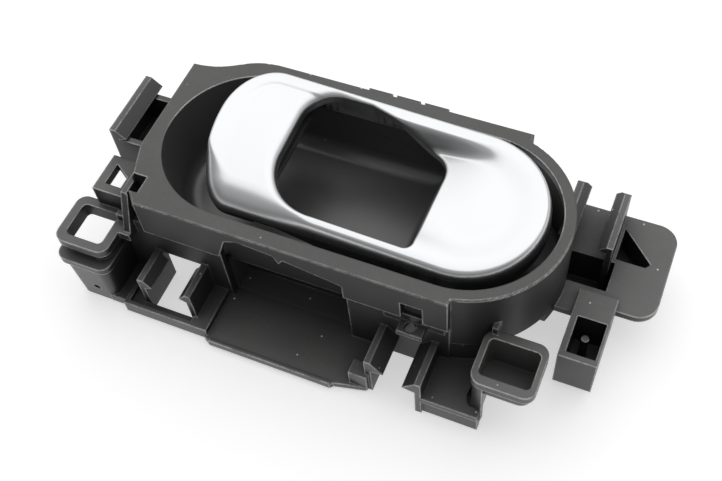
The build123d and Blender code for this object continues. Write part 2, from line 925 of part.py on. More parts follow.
    # Web from the flange corner to the left socket, and the pocket in the flange edge
    web_x = (flange_corner[0] - corner_web_left, flange_corner[0] - corner_web_right)
    web_back = flange_corner[1] + corner_web_depth
    side_profile(
        [
            (flange_corner[1], flange_under),
            (socket_y, boss_top - socket_collar),
            (web_back, boss_top - socket_collar),
            (web_back, flange_under),
        ],
        web_x,
    )
    block(
        (left_socket_x + socket_outer[0] / 2 - socket_neck_inset, web_x[1]),
        (socket_y, flange_corner[1]),
        (boss_top - socket_collar, boss_top),
    )
    with BuildSketch(Plane.XY.offset(flange_top)):
        with Locations(edge_pocket_centre):
            Rectangle(*edge_pocket_size)
    extrude(amount=-edge_pocket_depth, mode=Mode.SUBTRACT)

    # Strip of tabs along the back wall
    block(
        (strip_left_x, strip_right_x),
        (flange_back - wall_lap, strip_back),
        (strip_top - strip_height, strip_top),
    )
    notch_pitch = (strip_right_x - strip_left_x - strip_notch) / (strip_notches - 1)
    for number in range(strip_notches):
        notch_x = strip_left_x + number * notch_pitch
        block(
            (notch_x, notch_x + strip_notch),
            (flange_back, strip_back),
            (strip_top - strip_height / 2, strip_top),
            Mode.SUBTRACT,
        )

    # Back legs, drawn in from the wall
    for leg_x in (leg_left_x, leg_right_x):
        front_profile(
            [
                (leg_x - leg_width / 2 + leg_taper, 0),
                (leg_x + leg_width / 2 - leg_taper, 0),
                (leg_x + leg_width / 2, skirt_bottom + wall_lap),
                (leg_x - leg_width / 2, skirt_bottom + wall_lap),
            ],
            (flange_back - skirt_wall, flange_back),
        )

    # Window in front of the pin, and the ledge with its eye below it
    block(
        (pivot_x - window_width / 2, pivot_x + window_width / 2),
        (flange_front - cut_past, flange_front + window_depth),
        (window_bottom, window_top),
        Mode.SUBTRACT,
    )
    ledge_top = window_bottom - eye_ledge_drop
    block(
        (pivot_x - eye_ledge_width / 2, pivot_x + eye_ledge_width / 2),
        (bulkhead_front - eye_ledge_depth, bulkhead_back),
        (ledge_top - eye_ledge_thickness, ledge_top),
    )
    eye_y = bulkhead_front - eye_ledge_depth / 2 + eye_shift[1]
    with Locations((pivot_x + eye_shift[0], eye_y, ledge_top)):
        Hole(eye_diameter / 2, depth=eye_ledge_thickness)

    # Bores for the pin and the buffer stem
    bore_reach = pin_seat + pin_end_gap
    for bore_start in (cheek_front_y + pin_end_gap, cheek_back_y + bore_reach):
        with BuildSketch(Plane.XZ.offset(-bore_start)):
            with Locations((pivot_x, pivot_z)):
                Circle(pin_diameter / 2 + pin_fit)
        extrude(amount=bore_reach + pin_end_gap, mode=Mode.SUBTRACT)
    with BuildSketch(Plane.YZ.offset(bracket_x)):
        with Locations((buffer_y, buffer_z)):
            Circle(buffer_stem_diameter / 2 + buffer_fit)
    extrude(amount=bracket_thickness, mode=Mode.SUBTRACT)

    # Small blind hole in the front of the left foot
    with BuildSketch(Plane.XZ.offset(-foot_front - foot_wall - small_lap)):
        with Locations((left_socket_x + foot_hole_shift, foot_hole_z)):
            Circle(foot_hole_diameter / 2)
    extrude(amount=foot_hole_depth, mode=Mode.SUBTRACT)
housing.part.label = "housing"
export_step(housing.part, "parts/housing.step")

# Scoop axis, sloping down to the left towards the finger hole
scoop_end = (scoop_end_x, opening_y, scoop_end_z + scoop_radius)
scoop_direction = (-cos(radians(scoop_slope)), 0, -sin(radians(scoop_slope)))
scoop_axis = Plane(origin=scoop_end, z_dir=scoop_direction)


def scoop_tool(radius):
    """A round-ended tilted cylinder; its lower side is the scoop's surface."""
    with BuildPart() as tool:
        with Locations(scoop_axis):
            Sphere(radius)
            Cylinder(radius, scoop_length, align=(Align.CENTER, Align.CENTER, Align.MIN))
    return tool.part


def lever_level(z):
    """A level sketch plane centred on the lever's centre line."""
    return Plane(origin=(0, opening_y, z))


# Plated lever cover
lean_right = tan(radians(lever_lean_right))
lean_front = tan(radians(lever_lean_front))
lever_top_plane = Plane(
    origin=(0, opening_y, lever_top),
    x_dir=(1, 0, -lean_right),
    z_dir=(lean_right, -lean_front, 1),
)
with BuildPart() as lever_cover:
    # Dome: inset outlines rising along a quarter circle, then the straight side below them
    for inset in dome_insets:
        depth = dome_rise - sqrt(dome_rise**2 - (dome_rise - inset) ** 2)
        with BuildSketch(lever_top_plane.offset(-depth)):
            with Locations((0, dome_shift * inset / dome_rise)):
                add(lever_face(inset))
    loft()
    with BuildSketch(lever_top_plane.offset(-dome_rise)):
        add(lever_face(0))
    extrude(amount=-2 * dome_rise)
    block(
        (lever_left_x - 2 * lever_left_length, lever_right_end + dome_rise),
        (lever_front - dome_rise, lever_back + dome_rise),
        (0, lever_bottom),
        Mode.SUBTRACT,
    )
    # Hollow under the paddle
    with BuildSketch(lever_level(lever_bottom)):
        add(lever_face(2 * lever_wall))
        with Locations((hole_left_x - 2 * lever_wall, 0)):
            Rectangle(
                2 * lever_right_end,
                4 * lever_half_width,
                align=(Align.MIN, Align.CENTER),
                mode=Mode.SUBTRACT,
            )
    extrude(amount=lever_top - lever_wall - lever_bottom, mode=Mode.SUBTRACT)
    # Finger hole
    with BuildSketch(Plane.XY.offset(pivot_z)) as finger_hole:
        Polygon(
            (hole_left_x, hole_front),
            (hole_right_x, hole_front),
            (hole_right_x, hole_back),
            (hole_left_x, hole_back),
            align=None,
        )
        fillet(finger_hole.vertices().group_by(Axis.Y)[0].sort_by(Axis.X)[0], hole_corner_front)
        fillet(finger_hole.vertices().group_by(Axis.Y)[-1].sort_by(Axis.X)[0], hole_corner_back)
        fillet(finger_hole.vertices().group_by(Axis.Y)[-1].sort_by(Axis.X)[-1], hole_corner_scoop)
    extrude(amount=2 * (lever_top - pivot_z), mode=Mode.SUBTRACT)
    # Scoop with its own shell below the bars
    with BuildPart(mode=Mode.PRIVATE) as scoop:
        with BuildSketch(lever_level(pivot_z)):
            add(lever_face(2 * rail_inset + rail_width))
            with Locations((hole_right_x, 0)):
                Rectangle(
                    2 * lever_right_end,
                    4 * lever_half_width,
                    align=(Align.MAX, Align.CENTER),
                    mode=Mode.SUBTRACT,
                )
        extrude(amount=lever_bottom + wall_lap - pivot_z)
        add(scoop_tool(scoop_radius + scoop_shell), mode=Mode.INTERSECT)
    add(scoop.part)
    add(scoop_tool(scoop_radius), mode=Mode.SUBTRACT)
lever_cover.part.label = "lever_cover"
export_step(lever_cover.part, "parts/lever_cover.step")

# Black carrier under the cover
rail_top = lever_bottom - seat_gap
rail_inner_front = lever_front + rail_inset + rail_width
rail_inner_back = lever_back - rail_inset - rail_width
with BuildPart() as lever_carrier:
    with BuildSketch(lever_level(rail_top)):
        add(lever_face(rail_inset))
        add(lever_face(rail_inset + rail_width), mode=Mode.SUBTRACT)
    extrude(amount=-rail_pivot_depth - cut_past)
    # Lower edge of the rails, deepest at the pivot
    front_profile(
        [
            (lever_left_x - 2 * lever_left_length, rail_top - rail_left_depth),
            (hole_left_x + rail_rise_start, rail_top - rail_left_depth),
            (pivot_x - rail_rise_end, rail_top - rail_pivot_depth + rail_edge_slope),
            (pivot_x + barrel_diameter / 2, rail_top - rail_pivot_depth),
            (pivot_x + rail_drop_end, rail_top - rail_right_depth - rail_edge_slope / 2),
            (lever_right_end + cut_past, rail_top - rail_right_depth),
            (lever_right_end + cut_past, 0),
            (lever_left_x - 2 * lever_left_length, 0),
        ],
        (lever_front - cut_past, lever_back + cut_past),
        Mode.SUBTRACT,
    )
    # Plate under the paddle
    with BuildSketch(lever_level(rail_top)):
        add(lever_face(rail_inset))
        with Locations((hole_left_x - paddle_plate_gap, 0)):
            Rectangle(
                2 * lever_right_end,
                4 * lever_half_width,
                align=(Align.MIN, Align.CENTER),
                mode=Mode.SUBTRACT,
            )
    extrude(amount=-paddle_plate)
    # Tie bar behind the pivot
    block(
        (tie_x - tie_width / 2, tie_x + tie_width / 2),
        (rail_inner_front - small_lap, rail_inner_back + small_lap),
        (rail_top - tie_drop - tie_height, rail_top - tie_drop),
    )
    # Barrels on the pin
    for barrel_y in (
        (cheek_front_y + barrel_side_gap, cheek_front_y + barrel_side_gap + barrel_length),
        (cheek_back_y - barrel_side_gap - barrel_length, cheek_back_y - barrel_side_gap),
    ):
        with BuildSketch(Plane.XZ.offset(-barrel_y[1])):
            with Locations((pivot_x, pivot_z)):
                Circle(barrel_diameter / 2)
        extrude(amount=barrel_y[1] - barrel_y[0])
    # Cable arm
    front_profile(
        [
            (pivot_x - barrel_diameter / 2 + arm_root, pivot_z),
            (pivot_x - arm_root, pivot_z - arm_top_drop),
            (arm_face_x - arm_end_length, arm_bottom),
            (arm_face_x, arm_bottom),
            (arm_face_x, arm_bottom + arm_end_height),
            (pivot_x + barrel_diameter / 2, pivot_z + arm_root_rise),
        ],
        (rail_inner_front - small_lap, rail_inner_front + arm_thickness),
    )
    with BuildSketch(Plane.XZ.offset(-rail_inner_front - arm_thickness)):
        with Locations((arm_face_x - cable_hole_inset, arm_bottom + cable_hole_rise)):
            Circle(cable_hole_diameter / 2)
    extrude(amount=arm_thickness + cut_past, mode=Mode.SUBTRACT)
    # Bore
    with BuildSketch(Plane.XZ.offset(-cheek_back_y)):
        with Locations((pivot_x, pivot_z)):
            Circle(pin_diameter / 2 + barrel_clearance)
    extrude(amount=cheek_back_y - cheek_front_y, mode=Mode.SUBTRACT)
lever_carrier.part.label = "lever_carrier"
export_step(lever_carrier.part, "parts/lever_carrier.step")

# Steel pivot pin
pin_front = cheek_front_y - pin_seat
pin_back = cheek_back_y + pin_seat
with BuildPart() as pivot_pin:
    with BuildSketch(Plane.XZ.offset(-pin_back)):
        with Locations((pivot_x, pivot_z)):
            Circle(pin_diameter / 2)
    extrude(amount=pin_back - pin_front)
    chamfer(pivot_pin.edges().filter_by(GeomType.CIRCLE), pin_chamfer)
pivot_pin.part.label = "pivot_pin"
export_step(pivot_pin.part, "parts/pivot_pin.step")

# Torsion return spring: coil on the pin, one leg under the tie bar, one on the bracket
spring_start_y = rail_inner_front + arm_thickness + spring_side_gap + spring_wire / 2
spring_coil = Helix(
    spring_pitch,
    spring_turns * spring_pitch,
    spring_mean_radius,
    center=(pivot_x, spring_start_y, pivot_z),
    direction=(0, 1, 0),
    lefthand=True,
)
with BuildPart() as return_spring:
    with BuildSketch(Plane(origin=spring_coil @ 0, z_dir=spring_coil % 0)):
        Circle(spring_wire / 2)
    sweep(path=spring_coil)
    with BuildSketch(Plane(origin=spring_coil @ 0, z_dir=-(spring_coil % 0))):
        Circle(spring_wire / 2)
    extrude(amount=spring_lever_leg)
    with BuildSketch(Plane(origin=spring_coil @ 1, z_dir=spring_coil % 1)):
        Circle(spring_wire / 2)
    extrude(amount=spring_housing_leg)
return_spring.part.label = "return_spring"
export_step(return_spring.part, "parts/return_spring.step")

# Rubber rest buffer: head towards the cable arm, stem in the bracket
with BuildPart() as rest_buffer:
    with BuildSketch(Plane.YZ.offset(bracket_x - buffer_head)):
        with Locations((buffer_y, buffer_z)):
            Circle(buffer_head_diameter / 2)
    extrude(amount=buffer_head)
    fillet(rest_buffer.edges().group_by(Axis.X)[0], buffer_round)
    with BuildSketch(Plane.YZ.offset(bracket_x)):
        with Locations((buffer_y, buffer_z)):
            Circle(buffer_stem_diameter / 2)
    extrude(amount=bracket_thickness + buffer_stem_end)
rest_buffer.part.label = "rest_buffer"
export_step(rest_buffer.part, "parts/rest_buffer.step")
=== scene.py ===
"""Car interior door handle: looks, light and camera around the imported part."""

import bpy
import numpy as np
from mathutils import Matrix


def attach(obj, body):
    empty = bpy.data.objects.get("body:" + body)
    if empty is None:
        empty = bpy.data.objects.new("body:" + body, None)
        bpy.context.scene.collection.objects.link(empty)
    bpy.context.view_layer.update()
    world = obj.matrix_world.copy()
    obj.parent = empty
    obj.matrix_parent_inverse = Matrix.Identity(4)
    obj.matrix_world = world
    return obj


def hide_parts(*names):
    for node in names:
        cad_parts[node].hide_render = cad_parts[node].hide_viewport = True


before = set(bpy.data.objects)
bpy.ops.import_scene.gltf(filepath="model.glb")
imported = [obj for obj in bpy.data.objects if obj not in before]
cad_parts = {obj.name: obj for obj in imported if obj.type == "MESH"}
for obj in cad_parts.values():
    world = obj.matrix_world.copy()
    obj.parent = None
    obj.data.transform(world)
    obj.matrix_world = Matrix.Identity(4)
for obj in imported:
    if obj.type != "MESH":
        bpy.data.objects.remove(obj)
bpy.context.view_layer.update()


# Housing: one black polypropylene moulding with a fine spark-eroded grain, its clips, trays and
# sockets moulded on. Corners are slightly rounded by the tool. Edges that face the front are
# painted pale: partly rubbed by handling, partly a painted highlight. Faces that look up carry a
# thin coat of dust, painted paler than dust alone as painted top light and kept out of recesses
# as painted shade; the finger bowl and the right socket's pocket are painted paler as painted
# light.
class Value:
    """A socket in a material; arithmetic on it adds Math nodes."""

    def __init__(self, tree, socket):
        self.tree, self.socket = tree, socket

    def math(self, operation, *others):
        return add_node(self.tree, "ShaderNodeMath", {"operation": operation}, self, *others)

    def __add__(self, other):
        return self.math("ADD", other)

    def __mul__(self, other):
        return self.math("MULTIPLY", other)

    def __sub__(self, other):
        return self.math("SUBTRACT", other)

    def __rsub__(self, other):
        return add_node(self.tree, "ShaderNodeMath", {"operation": "SUBTRACT"}, other, self)

    def __truediv__(self, other):
        return self.math("DIVIDE", other)

    __radd__, __rmul__ = __add__, __mul__

    def between(self, low, high):
        """0 below low, 1 above high, smooth in between."""
        smooth_step = {"interpolation_type": "SMOOTHSTEP"}
        return add_node(self.tree, "ShaderNodeMapRange", smooth_step, self, low, high, 0.0, 1.0)


def plug(tree, socket, given):
    """Links a value to a socket, or sets the socket to a plain number or colour."""
    if isinstance(given, Value):
        tree.links.new(given.socket, socket)
    else:
        socket.default_value = given


def add_node(tree, kind, settings, *inputs, output=0, **named):
    """Adds one node: its settings first, then its sockets by order or by name; gives one output."""
    node = tree.nodes.new(kind)
    for key, setting in settings.items():
        setattr(node, key, setting)
    for key, given in [*enumerate(inputs), *named.items()]:
        plug(tree, node.inputs[key if isinstance(key, int) else key.replace("_", " ")], given)
    return Value(tree, node.outputs[output])


def mix_colour(tree, factor, first, second):
    """Blends two colours by a factor, in the Mix node's own places for colours."""
    node = tree.nodes.new("ShaderNodeMix")
    node.data_type = "RGBA"
    for index, given in ((0, factor), (6, first), (7, second)):
        plug(tree, node.inputs[index], given)
    return Value(tree, node.outputs[2])


def noise(place, scale, detail, roughness, distortion=0.0):
    """Cloudy noise on the piece's own coordinates, from about 0 to about 1."""
    return add_node(
        place.tree,
        "ShaderNodeTexNoise",
        {},
        Vector=place,
        Scale=scale,
        Detail=detail,
        Roughness=roughness,
        Distortion=distortion,
    )


def new_material(name):
    """A node material with its Principled shader."""
    material = bpy.data.materials.new(name)
    material.use_nodes = True
    tree = material.node_tree
    return material, tree, tree.nodes["Principled BSDF"]


def piece_place(tree):
    """The piece's own coordinates, in metres."""
    return add_node(tree, "ShaderNodeTexCoord", {}, output="Object")


def feed(tree, shader, **sockets):
    """Sets or links the Principled shader's sockets."""
    for key, given in sockets.items():
        plug(tree, shader.inputs[key.replace("_", " ")], given)


def paint(node, material):
    """Gives a CAD node its finished material."""
    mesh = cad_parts[node].data
    mesh.materials.clear()
    mesh.materials.append(material)


moulding_black = (0.018, 0.018, 0.0185, 1)
moulding_dust_and_painted_light = (0.095, 0.094, 0.092, 1)
moulding_painted_bowl_light = (0.060, 0.062, 0.060, 1)
moulding_pale_wear_highlight_speck = (0.78, 0.78, 0.76, 1)
moulding_grain = 2600.0
moulding_corner = 0.0007
recess_depth = 0.032
bowl_middle, bowl_half_run, bowl_radius, bowl_top = (-0.0041, 0.0077), 0.0354, 0.0277, 0.045
pocket_middle, pocket_half, pocket_top = (0.0564, -0.0274), (0.0079, 0.0063), 0.0283
skirt_low, skirt_high, skirt_near, skirt_far = 0.016, 0.034, 0.043, 0.048

black_moulding, tree, shader = new_material("black_moulding")
place = piece_place(tree)
x, y, z = (add_node(tree, "ShaderNodeSeparateXYZ", {}, place, output=axis) for axis in range(3))
facing = add_node(tree, "ShaderNodeNewGeometry", {}, output="Normal")
rounded = add_node(tree, "ShaderNodeBevel", {"samples": 6}, moulding_corner)
up = add_node(tree, "ShaderNodeSeparateXYZ", {}, facing, output=2)
front = 0 - add_node(tree, "ShaderNodeSeparateXYZ", {}, rounded, output=1)
dot = {"operation": "DOT_PRODUCT"}
edge = 1 - add_node(tree, "ShaderNodeVectorMath", dot, facing, rounded, output=1)
own_shape = {"samples": 6, "only_local": True}
open_air = add_node(
    tree, "ShaderNodeAmbientOcclusion", own_shape, Distance=recess_depth, output="AO"
)
cloud = noise(place, 55.0, 6.0, 0.62)
fleck = noise(place, 900.0, 3.0, 0.7)
grain = noise(place, moulding_grain, 2.0, 0.5)
scuff = noise(place, 210.0, 5.0, 0.75, 1.2)
mote = add_node(tree, "ShaderNodeTexVoronoi", {}, Vector=place, Scale=150.0, output="Distance")

# Dust and painted top light on open faces that look up, painted shade in recesses where the
# occlusion holds it back; front edges get rubbed wear and a painted highlight; specks lie about
dust_light_shade_mask = up.between(0.45, 1.0) * open_air.between(0.2, 0.75)
dust_painted_light_and_shade = dust_light_shade_mask * (0.45 + 0.75 * cloud) * (0.75 + 0.5 * fleck)
front_wear_and_highlight = (0.3 + 0.7 * scuff.between(0.34, 0.56)) * front.between(-0.12, 0.12)
rub_and_painted_highlight = edge.between(0.003, 0.04) * open_air.between(0.4, 0.75) * front_wear_and_highlight
speck = (1 - mote.between(0.03, 0.06)) * up.between(0.2, 0.9)

# Painted light: the finger bowl, smooth inside, and the right socket's pocket are painted paler;
# the skirt is dull
past_end = ((x - bowl_middle[0]).math("ABSOLUTE") - bowl_half_run).math("MAXIMUM", 0.0)
aside = y - bowl_middle[1]
from_bowl = (past_end * past_end + aside * aside).math("SQRT")
outer_wall = front.between(0.1, 0.4) * (1 - aside.between(-0.004, 0.0))
under_flange = 1 - z.between(bowl_top - 0.0006, bowl_top)
bowl = (1 - from_bowl.between(bowl_radius, bowl_radius + 0.0004)) * under_flange * (1 - outer_wall)
off_x = (x - pocket_middle[0]).math("ABSOLUTE") / pocket_half[0]
off_y = (y - pocket_middle[1]).math("ABSOLUTE") / pocket_half[1]
under_collar = 1 - z.between(pocket_top - 0.0005, pocket_top)
pocket = (1 - off_x.math("MAXIMUM", off_y).between(1.0, 1.03)) * under_collar
skirt = z.between(skirt_low, skirt_high) * (1 - from_bowl.between(skirt_near, skirt_far))

# Dust and painted top light on faces that look up; painted shade where recesses hold it back
colour = mix_colour(tree, dust_painted_light_and_shade, moulding_black, moulding_dust_and_painted_light)
# Painted highlight: edges that face the front are painted pale, partly rubbed wear
colour = mix_colour(tree, rub_and_painted_highlight * 0.9, colour, moulding_pale_wear_highlight_speck)
# Painted light: the inside of the finger bowl is painted a lighter grey
colour = mix_colour(tree, bowl * 0.8, colour, moulding_painted_bowl_light)
# Painted light: the inside of the right socket's pocket is painted paler
colour = mix_colour(tree, pocket * 0.9, colour, moulding_dust_and_painted_light)
colour = mix_colour(tree, speck * 0.7, colour, moulding_pale_wear_highlight_speck)
bump = add_node(
    tree, "ShaderNodeBump", {}, Strength=0.22, Distance=0.0001, Height=grain, Normal=rounded
)
feed(
    tree,
    shader,
    Base_Color=colour,
    Roughness=0.42 + 0.16 * cloud - 0.06 * rub_and_painted_highlight - 0.14 * bowl,
    Coat_Weight=0.55 * open_air.between(0.6, 0.98) * (1 - skirt) + 0.5 * bowl + 0.4 * pocket,
    Coat_Roughness=0.3,
    Normal=bump,
    Specular_IOR_Level=0.5,
)
paint("housing", black_moulding)


# Socket cheek: the left wall of the right fixing socket, of one moulding with the housing. It
# stands flush with the collar above it and runs down through the round cut-out of the tray to a
# low ledge.
mm = 0.001
sharp_turn = 0.6
cheek_middle, cheek_back = np.array([51.9, -31.4]), -21.0
cheek_ledge, cheek_outer, cheek_inner = 6.3, 4.8, 3.4
cheek_low, cheek_ledge_top, cheek_high = 4.0, 6.2, 25.9
cheek_turn = np.radians(np.linspace(-96, -180, 40))
cheek_section = (
    (cheek_ledge, cheek_low),
    (cheek_ledge, cheek_ledge_top),
    (cheek_outer, cheek_ledge_top),
    (cheek_outer, cheek_high),
    (cheek_inner, cheek_high),
    (cheek_inner, cheek_low),
)


def cheek_edge(radius, height):
    """One long edge of the wall: in plan a round corner about its middle, then straight back."""
    corner = cheek_middle + radius * np.stack([np.cos(cheek_turn), np.sin(cheek_turn)], -1)
    plan = np.concatenate([corner, [[corner[-1, 0], cheek_back]]])
    return np.column_stack([plan, np.full(len(plan), height)])


def strip_faces(rows, columns, closed):
    """Quads of a grid whose columns close on themselves; a closed one's rows do so too."""
    last = rows if closed else rows - 1
    row, column = np.meshgrid(np.arange(last), np.arange(columns), indexing="ij")
    below, beside = (row + 1) % rows, (column + 1) % columns
    corners = ((row, beside), (below, beside), (below, column), (row, column))
    return np.stack([r * columns + c for r, c in corners], -1).reshape(-1, 4).tolist()


def add_piece(name, points, faces, material):
    """A smooth mesh at the origin, sharp where its faces turn by more than the sharp turn."""
    mesh = bpy.data.meshes.new(name)
    mesh.from_pydata(points.reshape(-1, 3), [], faces)
    mesh.polygons.foreach_set("use_smooth", np.ones(len(mesh.polygons), bool))
    mesh.set_sharp_from_angle(angle=sharp_turn)
    mesh.materials.append(material)
    piece = bpy.data.objects.new(name, mesh)
    bpy.context.scene.collection.objects.link(piece)
    return piece


wall = np.stack([cheek_edge(radius, height) for radius, height in cheek_section], 1) * mm
steps, sides = wall.shape[:2]
ends = [list(range(sides))[::-1], list(range((steps - 1) * sides, steps * sides))]
cheek_faces = strip_faces(steps, sides, closed=False) + ends
cheek = add_piece("socket_cheek", wall, cheek_faces, black_moulding)
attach(cheek, "base_unit")


# Lever cover: plastic moulding with satin chrome plating, domed, leaning a little to the front and
# to the pivot end. A rolled rim goes down into the finger hole, and a scoop runs from the hole up
# to the round end. It is clipped on the carrier.
lever_y = 7.7
lever_half = 24.6
lever_round_x = 30.7
lever_oval_x, lever_oval_length, lever_tip_y = -36.0, 15.0, 5.0
lever_bottom, lever_top = 43.5, 51.4
lean_right, lean_front = np.tan(np.radians([2.6, 3.3]))
crown_front, crown_back = 1.5, 0.9
paddle_x, paddle_fade = -7.0, 22.0
flank_y, flank_fade = -7.0, 11.0
roll_tight, roll_broad, roll_power = 1.9, 6.6, 2.2
hole_low, hole_high = np.array([-26.3, -20.8]), np.array([21.2, 21.3])
hole_radii = (17.0, 10.0, 2.5, 2.5)
lean_start, lean_end, lean_round = np.array([-7.0, 21.3]), np.array([16.0, 15.6]), 8.0
rim_drop, rim_drop_paddle, rim_reach, rim_reach_paddle = 0.8, 2.0, 1.0, 2.6
scoop_edge, scoop_deep, scoop_rim = 1.7, 4.8, 5.6
scoop_x, scoop_fade_right, scoop_fade_left = 14.0, 25.0, 15.0
scoop_front_y, scoop_run = -21.0, 38.0
wall_slack, wall_steep, wall_y, wall_fade = 0.40, 1.8, 2.0, 14.0
scoop_blend, shell_blend = 1.6, 1.4
shell_wall, shell_foot, least_height = 1.6, 2.2, 0.02
spoke_x, spoke_far = -3.0, 90.0
no_zero = 1e-9


def inside_lever(x, y):
    """Distance in from the lever's outline: a round end, straight sides, an end of two oval
    quarters."""
    half = lever_half - np.sign(y - lever_tip_y) * lever_tip_y
    reach_x, reach_y = (x - lever_oval_x) / lever_oval_length, (y - lever_tip_y) / half
    q = np.sqrt(reach_x**2 + reach_y**2) + no_zero
    steep = np.sqrt((reach_x / lever_oval_length) ** 2 + (reach_y / half) ** 2) / q + no_zero
    oval = (1 - q) / steep
    return np.where(
        x > lever_round_x,
        lever_half - np.hypot(x - lever_round_x, y),
        np.where(x < lever_oval_x, oval, lever_half - np.abs(y)),
    )


def soft_lower(first, second, blend):
    """The lower of two heights with the corner between them rounded off."""
    h = np.clip(0.5 + 0.5 * (second - first) / blend, 0, 1)
    return second + (first - second) * h - blend * h * (1 - h)


def outside_hole(x, y):
    """Distance out from the finger hole: a rectangle with a radius of its own at each corner, less
    what lies past a line that leans to the front along the right half of its back edge."""
    middle, half = (hole_low + hole_high) / 2, (hole_high - hole_low) / 2
    front_left, back_left, front_right, back_right = hole_radii
    left = np.where(y < middle[1], front_left, back_left)
    right = np.where(y < middle[1], front_right, back_right)
    radius = np.where(x < middle[0], left, right)
    qx = np.abs(x - middle[0]) - half[0] + radius
    qy = np.abs(y - middle[1]) - half[1] + radius
    inner = np.minimum(np.maximum(qx, qy), 0)
    rectangle = inner + np.hypot(np.maximum(qx, 0), np.maximum(qy, 0)) - radius
    run_x, run_y = (lean_end - lean_start) / np.hypot(*(lean_end - lean_start))
    past_line = (y - lean_end[1]) * run_x - (x - lean_end[0]) * run_y
    return np.maximum(rectangle, -soft_lower(hole_high[0] - x, -past_line, lean_round))


def edge_along(angle, distance):
    """Radius along each spoke where a distance function is zero, by halving."""
    low, high = np.zeros_like(angle), np.full_like(angle, spoke_far)
    across, along = np.cos(angle), np.sin(angle)
    beyond_edge = np.sign(distance(spoke_x + spoke_far * across, spoke_far * along))
    for _ in range(40):
        half = (low + high) / 2
        beyond = np.sign(distance(spoke_x + half * across, half * along)) == beyond_edge
        low, high = np.where(beyond, low, half), np.where(beyond, half, high)
    return (low + high) / 2


def roll(distance, reach):
    """Share of the full height at a distance from an edge: a quarter of an oval, 0 at the edge."""
    t = np.clip(1 - distance / reach, 0, 1)
    return (1 - t**roll_power) ** (1 / roll_power)


def smooth(t):
    """0 below 0, 1 above 1, and an even S between."""
    t = np.clip(t, 0, 1)
    return t * t * (3 - 2 * t)


def scoop_depth(x, y):
    """How far the scoop's floor lies under the shell: deepest at the finger hole's back corner,
    fading to the round end, to the front and along the back bar; it starts a rim's width from the
    outline, with a steep wall at the back and a slack one at the front and the round end."""
    right, left = smooth((x - scoop_x) / scoop_fade_right), smooth((scoop_x - x) / scoop_fade_left)
    to_back = np.clip((y - scoop_front_y) / scoop_run, 0, 1)
    floor = (scoop_edge + scoop_deep * (1 - right) * to_back) * (1 - left)
    wall = wall_slack + wall_steep * smooth((y - wall_y) / wall_fade) * (1 - right)
    return soft_lower(floor, wall * (inside_lever(x, y) - scoop_rim), scoop_blend)


def lever_height(x, y):
    """Top of the cover: a leaning plane, crowned to the front, times the roll of its outer edge,
    which is broad on the paddle's front flank and tight elsewhere; less the rim's roll, with the
    scoop let in."""
    plane = lever_top - lean_right * x + lean_front * y
    crown = plane - np.where(y < 0, crown_front, crown_back) * (y / lever_half) ** 2
    paddle = smooth((paddle_x - x) / paddle_fade)
    reach = roll_tight + roll_broad * paddle * smooth((flank_y - y) / flank_fade)
    shell = lever_bottom + (crown - lever_bottom) * roll(inside_lever(x, y), reach)
    rim = 1 - roll(outside_hole(x, y), rim_reach + rim_reach_paddle * paddle)
    shell = shell - (rim_drop + rim_drop_paddle * paddle) * rim
    shell = np.maximum(shell, lever_bottom + least_height)
    return soft_lower(shell, shell - scoop_depth(x, y), shell_blend)


around, across, under = 640, 84, 14
angle = np.linspace(0, 2 * np.pi, around, endpoint=False)
outer, inner = edge_along(angle, inside_lever), edge_along(angle, outside_hole)


def spokes(share):
    """Plan of rings between the outline, at share 0, and the finger hole, at share 1."""
    radius = outer[None] + (inner - outer)[None] * share[:, None]
    return spoke_x + radius * np.cos(angle), radius * np.sin(angle)


top_share = (1 - np.cos(np.linspace(0, np.pi, across))) / 2
top_share[0], top_share[-1] = 0.0005, 0.9995
x, y = spokes(top_share)
top = np.stack([x, y + lever_y, lever_height(x, y)], -1)
x, y = spokes(np.linspace(1, 0, under))
z = np.where(inside_lever(x, y) < shell_foot, lever_bottom, lever_height(x, y) - shell_wall)
z[-1] = lever_bottom
lever_rows = np.concatenate([top, np.stack([x, y + lever_y, z], -1)]) * mm

chrome_grey, chrome_spot = (0.64, 0.645, 0.655, 1), (0.36, 0.35, 0.33, 1)
satin_chrome, tree, shader = new_material("satin_chrome")
place = piece_place(tree)
haze = noise(place, 38.0, 4.0, 0.55)
satin = noise(place, 5200.0, 2.0, 0.5)
spot = noise(place, 700.0, 3.0, 0.8).between(0.76, 0.80)
bump = add_node(tree, "ShaderNodeBump", {}, Strength=0.06, Distance=0.00004, Height=satin)
feed(
    tree,
    shader,
    Base_Color=mix_colour(tree, spot * 0.35, chrome_grey, chrome_spot),
    Metallic=1.0,
    Roughness=0.26 + 0.10 * haze,
    Normal=bump,
)
lever_faces = strip_faces(across + under, around, closed=True)
cover = add_piece("chrome_cover", lever_rows, lever_faces, satin_chrome)
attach(cover, "lever")
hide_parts("lever_cover")


# Lever carrier: glass-filled black plastic under the cover, smooth from the tool, with the two
# barrels that run on the pin and the arm that works the latch.
carrier_dark, carrier_pale = (0.024, 0.025, 0.025, 1), (0.042, 0.043, 0.043, 1)
carrier_corner = 0.0003
carrier_black, tree, shader = new_material("carrier_black")
place = piece_place(tree)
swirl = noise(place, 120.0, 5.0, 0.6, 0.8)
fibre = noise(place, 1900.0, 3.0, 0.6)
rounded = add_node(tree, "ShaderNodeBevel", {"samples": 4}, carrier_corner)
bump = add_node(
    tree, "ShaderNodeBump", {}, Strength=0.12, Distance=0.00008, Height=fibre, Normal=rounded
)
feed(
    tree,
    shader,
    Base_Color=mix_colour(tree, swirl, carrier_dark, carrier_pale),
    Roughness=0.26 + 0.16 * swirl,
    Coat_Weight=0.6,
    Coat_Roughness=0.2,
    Normal=bump,
)
paint("lever_carrier", carrier_black)


